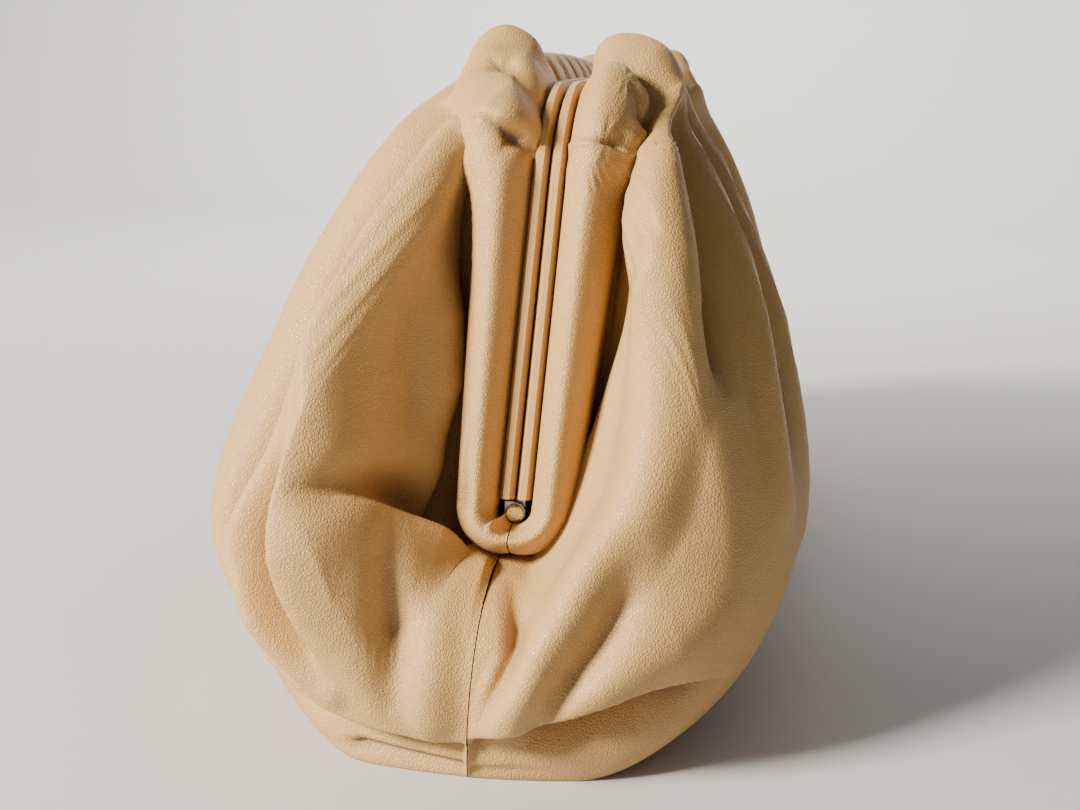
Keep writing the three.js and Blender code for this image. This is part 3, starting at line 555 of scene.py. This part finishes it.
# Creases of the near end, drawn on the folds.
leftCreases = [
    dict(name="under the knob", kind="flap", edge=0.8,
         path=[(0.236, 2.65), (0.2345, 2.45), (0.2325, 2.15), (0.232, 1.8), (0.2312, 1.4),
               (0.2285, 1.05)],
         widths=[0.09, 0.12], heights=[0, 0.024, 0.034, 0.034, 0.026, 0.004]),
    dict(name="crease under the knob", kind="crease",
         path=[(0.233, 2.5), (0.2312, 2.15), (0.2305, 1.8), (0.2295, 1.4), (0.227, 1.05)],
         widths=[0.018, 0.022], heights=[0.004, 0.014, 0.018, 0.014, 0.004]),
    dict(name="left edge of the knob", kind="flap", edge=3,
         path=[(0.256, 1.95), (0.249, 2.25), (0.242, 2.5), (0.236, 2.75), (0.23, 2.95)],
         widths=[0.06, 0.07], heights=[0, 0.006, 0.01, 0.008, 0]),
    dict(name="behind the knob", kind="valley",
         path=[(0.272, 3.1), (0.27, 2.6), (0.267, 2.2), (0.26, 1.8), (0.252, 1.4)],
         widths=[0.04, 0.05], heights=[0.004, 0.014, 0.018, 0.016, 0.008]),
    dict(name="shaded facet", kind="valley",
         path=[(0.229, 1.6), (0.224, 2), (0.216, 2.3)],
         widths=[0.03, 0.04], heights=[0.008, 0.01, 0]),
    dict(name="elbow", kind="crease", fade=True,
         path=[(0.165, 6.3), (0.14, 6.12), (0.12, 5.9), (0.1, 5.65)],
         widths=[0.04, 0.05], heights=[0.002, 0.003, 0.002]),
]
rightCreases = [
    dict(name="top of the lower roll", kind="flap", edge=0.9,
         path=[(0.23, 3.5), (0.227, 3), (0.226, 2.5), (0.227, 2), (0.229, 1.5), (0.231, 1.1)],
         widths=[0.06, 0.08], heights=[0.008, 0.018, 0.022, 0.018, 0.004]),
    dict(name="beside the knob", kind="crease",
         path=[(0.262, 2.6), (0.256, 2.95), (0.25, 3.25), (0.242, 3.5), (0.234, 3.6),
               (0.226, 3.65)],
         widths=[0.03, 0.04], heights=[0, 0.003, 0.01, 0.013, 0.008, 0.002]),
]
# Wrinkles of the near end, drawn last. Spacing and depth are in millimetres; with rays they make a star.
leftWrinkles = [
    dict(name="over the roll's shoulder", at=(0.236, 2.9), toward=(0.251, 2.95),
         spread=0.5, spacing=1.9, depth=0.12),
    dict(name="across the facet", at=(0.218, 2), toward=(0.225, 1.4),
         spread=0.3, spacing=1.7, depth=0.22, fan=0.3),
    dict(name="down the chin valley", at=(0.062, 6.1), toward=(0.057, 7.1),
         spread=0.3, spacing=2.2, depth=0.12),
    dict(name="pit", at=(0.27, 2.55), toward=(0.26, 2.55), rays=9, pit=2.5, depth=0.3),
]
rightWrinkles = [
    dict(name="down the seam valley", at=(0.022, 5.7), toward=(0.03, 6.7),
         spread=0.3, spacing=2.4, depth=0.14, fan=0.3),
    dict(name="star", at=(0.228, 2.3), toward=(0.238, 1.8), rays=9, depth=0.2),
    dict(name="fan under the crease", at=(0.219, 2.1), toward=(0.208, 2.6),
         spread=0.5, spacing=1.8, depth=0.25, fan=0.4),
    dict(name="pucker over the knob", at=(0.258, 2.6), toward=(0.268, 2.6), rays=11, depth=0.16),
]
layersOf = {
    -1: [leftFolds + gatherFolds(leftGathers) + atFarEnd(rightFolds), leftCreases, leftWrinkles],
    1: [rightFolds + gatherFolds(rightGathers) + atFarEnd(leftFolds), rightCreases, rightWrinkles],
}
# The bag as drawn is laid on the frame by its near pin.
pinLow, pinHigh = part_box("hinge_pin_near")
pinAside = bag["frameLean"] * (bag["hingeUp"] - bag["leanLevel"])
drawnPin = Vector((pinAside, -bag["hingeAlong"], bag["hingeUp"]))
origin = (pinLow + pinHigh) / 2 - drawnPin / 1000


def toFrame(points):
    return points / 1000 + np.array(origin)


# Camera, as the photograph was taken.
view = dict(at=(53, -488, 178), yaw=8, pitch=13.75, roll=1, lens=43.3, sensor=36)


def addCamera():
    yaw, pitch = math.radians(view["yaw"]), math.radians(view["pitch"])
    ahead = Vector((-math.sin(yaw) * math.cos(pitch), math.cos(yaw) * math.cos(pitch),
                    -math.sin(pitch)))
    data = bpy.data.cameras.new("camera")
    data.lens = view["lens"]
    data.sensor_width = view["sensor"]
    camera = bpy.data.objects.new("camera", data)
    camera.location = Vector(view["at"]) / 1000 + origin
    turn = ahead.to_track_quat("-Z", "Y") @ Quaternion((0, 0, 1), math.radians(view["roll"]))
    camera.rotation_mode = "QUATERNION"
    camera.rotation_quaternion = turn
    bpy.context.scene.collection.objects.link(camera)
    bpy.context.scene.camera = camera


addCamera()


def newMaterial(name):
    material = bpy.data.materials.new(name)
    material.use_nodes = True
    tree = material.node_tree
    return material, tree.nodes["Principled BSDF"], tree.nodes, tree.links


def addNode(nodes, kind, values, **settings):
    # the settings come first, because they decide which inputs the node has
    node = nodes.new("ShaderNode" + kind)
    for name, value in settings.items():
        setattr(node, name, value)
    for name, value in values.items():
        node.inputs[name].default_value = value
    return node


leatherLook = dict(
    pale=(0.61, 0.362, 0.124, 1), deep=(0.53, 0.302, 0.095, 1), cloudsPerMetre=22,
    fold=(0.25, 0.142, 0.06, 1),  # painted shade: the darker colour laid down in the folds and hollows
    roughness=0.41, duller=0.12, glossier=0.04,  # between the pebbles and on them
    specular=0.38, sheen=0.02, sheenRoughness=0.5, sheenTint=(1, 0.85, 0.68, 1),
    grainPerMetre=1150, grainDepth=0.00011, paintedPebbleShade=0.9, grainEdge=0.3,
    stirShare=0.35, stirReach=0.0008, fineShare=1.9, fineHeight=0.35,
)


def leatherMaterial(name, look):
    material, shader, nodes, links = newMaterial(name)
    place = addNode(nodes, "TexCoord", {}).outputs["Object"]

    # pale and deeper parts of the hide, and painted shade that darkens the folds by how deep they lie
    clouds = addNode(nodes, "TexNoise", {"Scale": look["cloudsPerMetre"], "Detail": 4})
    tint = addNode(nodes, "Mix", {"A": look["pale"], "B": look["deep"]}, data_type="RGBA")
    # painted shade: the hollow attribute sets how much the fold colour darkens each point
    hollow = addNode(nodes, "Attribute", {}, attribute_name="hollow")
    paintedFoldShade = addNode(nodes, "Mix", {"B": look["fold"]}, data_type="RGBA")
    links.new(place, clouds.inputs["Vector"])
    links.new(clouds.outputs["Fac"], tint.inputs["Factor"])
    links.new(tint.outputs["Result"], paintedFoldShade.inputs["A"])
    links.new(hollow.outputs["Fac"], paintedFoldShade.inputs["Factor"])

    # pebbles of grain, stirred so that they don't repeat
    stir = addNode(nodes, "TexNoise", {"Scale": look["grainPerMetre"] * look["stirShare"], "Detail": 3})
    shift = addNode(nodes, "VectorMath", {1: [look["stirReach"]] * 3}, operation="MULTIPLY_ADD")
    pebbles = addNode(nodes, "TexVoronoi", {"Scale": look["grainPerMetre"]}, feature="DISTANCE_TO_EDGE")
    plateau = addNode(nodes, "MapRange", {"From Max": look["grainEdge"]},
                      interpolation_type="SMOOTHSTEP")
    links.new(place, stir.inputs["Vector"])
    links.new(stir.outputs["Color"], shift.inputs[0])
    links.new(place, shift.inputs[2])
    links.new(shift.outputs["Vector"], pebbles.inputs["Vector"])
    links.new(pebbles.outputs["Distance"], plateau.inputs["Value"])

    # painted shade: darker between the pebbles
    paintedShadeBetweenPebbles = addNode(nodes, "MapRange", {"To Min": look["paintedPebbleShade"]})
    withPaintedPebbleShade = addNode(nodes, "Mix", {"Factor": 1}, data_type="RGBA", blend_type="MULTIPLY")
    links.new(plateau.outputs["Result"], paintedShadeBetweenPebbles.inputs["Value"])
    links.new(paintedFoldShade.outputs["Result"], withPaintedPebbleShade.inputs["A"])
    links.new(paintedShadeBetweenPebbles.outputs["Result"], withPaintedPebbleShade.inputs["B"])
    links.new(withPaintedPebbleShade.outputs["Result"], shader.inputs["Base Color"])

    # their relief, with a finer noise on it
    fine = addNode(nodes, "TexNoise", {"Scale": look["grainPerMetre"] * look["fineShare"], "Detail": 5})
    grain = addNode(nodes, "Math", {1: look["fineHeight"]}, operation="MULTIPLY_ADD")
    bump = addNode(nodes, "Bump", {"Distance": look["grainDepth"], "Strength": 1})
    links.new(place, fine.inputs["Vector"])
    links.new(fine.outputs["Fac"], grain.inputs[0])
    links.new(plateau.outputs["Result"], grain.inputs[2])
    links.new(grain.outputs["Value"], bump.inputs["Height"])
    links.new(bump.outputs["Normal"], shader.inputs["Normal"])

    gloss = addNode(nodes, "MapRange", {"To Min": look["roughness"] + look["duller"],
                                        "To Max": look["roughness"] - look["glossier"]})
    links.new(plateau.outputs["Result"], gloss.inputs["Value"])
    links.new(gloss.outputs["Result"], shader.inputs["Roughness"])
    shader.inputs["Specular IOR Level"].default_value = look["specular"]
    shader.inputs["Sheen Weight"].default_value = look["sheen"]
    shader.inputs["Sheen Roughness"].default_value = look["sheenRoughness"]
    shader.inputs["Sheen Tint"].default_value = look["sheenTint"]
    return material


metalLook = dict(brushingPerMetre=900, rougher=0.2, brushingDepth=0.00003)
brassLook = dict(metalLook, bright=(0.83, 0.6, 0.2, 1), dull=(0.6, 0.38, 0.1, 1), roughness=0.16)
steelLook = dict(metalLook, bright=(0.62, 0.58, 0.5, 1), dull=(0.35, 0.32, 0.28, 1), roughness=0.3)


def metalMaterial(name, look):
    material, shader, nodes, links = newMaterial(name)
    place = addNode(nodes, "TexCoord", {}).outputs["Object"]
    brushing = addNode(nodes, "TexNoise", {"Scale": look["brushingPerMetre"], "Detail": 6})
    tint = addNode(nodes, "Mix", {"A": look["bright"], "B": look["dull"]}, data_type="RGBA")
    gloss = addNode(nodes, "MapRange", {"To Min": look["roughness"],
                                        "To Max": look["roughness"] + look["rougher"]})
    bump = addNode(nodes, "Bump", {"Distance": look["brushingDepth"]})
    links.new(place, brushing.inputs["Vector"])
    links.new(brushing.outputs["Fac"], tint.inputs["Factor"])
    links.new(tint.outputs["Result"], shader.inputs["Base Color"])
    links.new(brushing.outputs["Fac"], gloss.inputs["Value"])
    links.new(gloss.outputs["Result"], shader.inputs["Roughness"])
    links.new(brushing.outputs["Fac"], bump.inputs["Height"])
    links.new(bump.outputs["Normal"], shader.inputs["Normal"])
    shader.inputs["Metallic"].default_value = 1
    return material


leather = leatherMaterial("caramel leather", leatherLook)
barLook = dict(leatherLook, grainDepth=0.00005, paintedPebbleShade=0.95, roughness=0.4)
barLeather = leatherMaterial("leather over the bars", barLook)
brass = metalMaterial("brass rivet", brassLook)
steel = metalMaterial("stamped steel", steelLook)
print("The materials are made")


# Turns of smoothing, and the depth in millimetres below the smoothed leather that is a full hollow and
# gets the full painted shade.
paintedShadeScales = {14: 1.6, 60: 3.5}


def hollowShareForPaintedShade(grid, side):
    # how far a point lies in below its surroundings, from 0 to 1: the share of painted shade it gets
    hollow = np.zeros(grid.shape[:-1])
    near = grid
    for turn in range(1, max(paintedShadeScales) + 1):
        padded = np.pad(near, ((1, 1), (1, 1), (0, 0)), mode="edge")
        near = (padded[2:, 1:-1] + padded[:-2, 1:-1] + padded[1:-1, 2:] + padded[1:-1, :-2]) / 4
        if turn in paintedShadeScales:
            below = np.einsum("ijk,ijk->ij", near - grid, gridNormals(near, side))
            hollow = np.maximum(hollow, np.clip(below / paintedShadeScales[turn], 0, 1))
    return hollow


def addPanel(side, name, node):
    us, vs = skinPlaces()
    grid, v = leatherGrid(side, us, vs, layersOf[side])
    outside = toFrame(settled(grid, v))
    columns, rows = v.shape
    ids = np.arange(columns * rows).reshape(columns, rows)
    quads = np.stack([ids[:-1, :-1], ids[1:, :-1], ids[1:, 1:], ids[:-1, 1:]], -1).reshape(-1, 4)
    faces = quads if side < 0 else quads[:, ::-1]
    mesh = bpy.data.meshes.new(name)
    mesh.from_pydata(outside.reshape(-1, 3).tolist(), [], faces.tolist())
    mesh.polygons.foreach_set("use_smooth", [True] * len(faces))
    # painted shade: how hollow each point lies is stored here, so the material can darken the folds
    hollow = mesh.attributes.new("hollow", "FLOAT", "POINT")
    hollow.data.foreach_set("value", hollowShareForPaintedShade(grid, side).ravel())
    mesh.materials.append(leather)
    mesh.update()
    piece = bpy.data.objects.new(name, mesh)
    bpy.context.scene.collection.objects.link(piece)
    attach(piece, "root")
    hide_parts(node)
    print("The leather of", name, "has", len(faces), "faces")


addPanel(-1, "leather_left", "panel_left")
addPanel(1, "leather_right", "panel_right")

# The bars and the small metal parts keep the shapes of the solids.
materialOf = {
    "frame_bar_left": barLeather, "frame_bar_right": barLeather,
    "hinge_eye_left_near": steel, "hinge_eye_right_near": steel, "hinge_pin_near": brass,
    "hinge_eye_left_far": steel, "hinge_eye_right_far": steel, "hinge_pin_far": brass,
}
for nodeName, material in materialOf.items():
    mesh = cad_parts[nodeName].data
    mesh.materials.clear()
    mesh.materials.append(material)

# The floor, the light and the pale surroundings.
studio = dict(
    floor=(0.56, 0.55, 0.53, 1), floorRoughness=0.7, floorHalfWidth=4, floorStart=-3,
    wallBehind=1.3, wallCurve=0.5, curveSteps=12, wallTop=3,
    sky=(0.86, 0.9, 1, 1), skyStrength=0.16,
)
lights = [
    dict(name="window", at=(-1.15, -0.9, 0.85), towards=(0, -0.1, 0.1), size=0.35, power=86,
         colour=(1, 0.96, 0.9)),
    dict(name="light on the wall", at=(0, 0.75, 1.5), towards=(0, 1.8, 0.9), size=1.2, power=70,
         colour=(1, 1, 1)),
]


def addLight(name, at, towards, size, power, colour):
    data = bpy.data.lights.new(name, "AREA")
    data.size = size
    data.energy = power
    data.color = colour
    light = bpy.data.objects.new(name, data)
    light.location = at
    light.rotation_euler = (Vector(towards) - light.location).to_track_quat("-Z", "Y").to_euler()
    bpy.context.scene.collection.objects.link(light)


def addFloor():
    # a pale sheet that lies on the ground and curves up behind the bag
    behind, curve, steps = studio["wallBehind"], studio["wallCurve"], studio["curveSteps"]
    turns = [math.pi / 2 * i / steps for i in range(steps + 1)]
    bends = [(behind + curve * math.sin(turn), curve - curve * math.cos(turn)) for turn in turns]
    line = [(studio["floorStart"], 0), *bends, (bends[-1][0], studio["wallTop"])]
    half = studio["floorHalfWidth"]
    mesh = bpy.data.meshes.new("floor")
    mesh.from_pydata([(x, y, z) for y, z in line for x in (-half, half)], [],
                     [(2 * i, 2 * i + 1, 2 * i + 3, 2 * i + 2) for i in range(len(line) - 1)])
    mesh.polygons.foreach_set("use_smooth", [True] * len(mesh.polygons))
    material, shader = newMaterial("pale floor")[:2]
    shader.inputs["Base Color"].default_value = studio["floor"]
    shader.inputs["Roughness"].default_value = studio["floorRoughness"]
    mesh.materials.append(material)
    floor = bpy.data.objects.new("floor", mesh)
    bpy.context.scene.collection.objects.link(floor)


def addSky():
    world = bpy.data.worlds.new("sky")
    bpy.context.scene.world = world
    world.use_nodes = True
    background = world.node_tree.nodes["Background"]
    background.inputs["Color"].default_value = studio["sky"]
    background.inputs["Strength"].default_value = studio["skyStrength"]


addFloor()
for light in lights:
    addLight(**light)
addSky()
print("The studio is lit")
